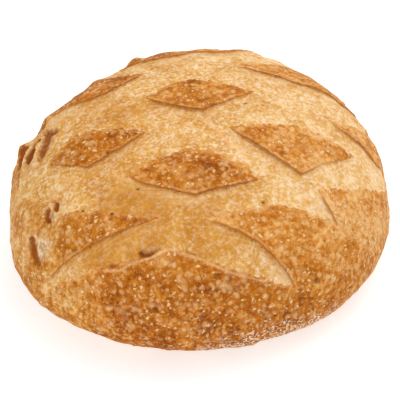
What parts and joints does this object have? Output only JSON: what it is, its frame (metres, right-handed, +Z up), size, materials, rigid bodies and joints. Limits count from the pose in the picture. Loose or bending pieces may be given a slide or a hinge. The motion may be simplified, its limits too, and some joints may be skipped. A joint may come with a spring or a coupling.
{
  "type": "sourdough bread loaf",
  "caption": "Round hearth loaf of bread with a lattice-scored dome: raised, curled tiles of crust between bands of risen dough, and a flat foot.",
  "frame": {"origin": "centre of the bounding box's underside, on the flat foot", "axes": "+Z up through the dome; -Y towards the viewer's side of the loaf, +X to that viewer's right"},
  "size_m": [0.2194, 0.2096, 0.0925],
  "materials": {
    "crust": "baked bread crust, dry and matte: caramel tiles, pale golden bands between them, small blisters and a dusting of flour"
  },
  "bodies": {
    "root": {"loaf": "crust"}
  },
  "joints": []
}
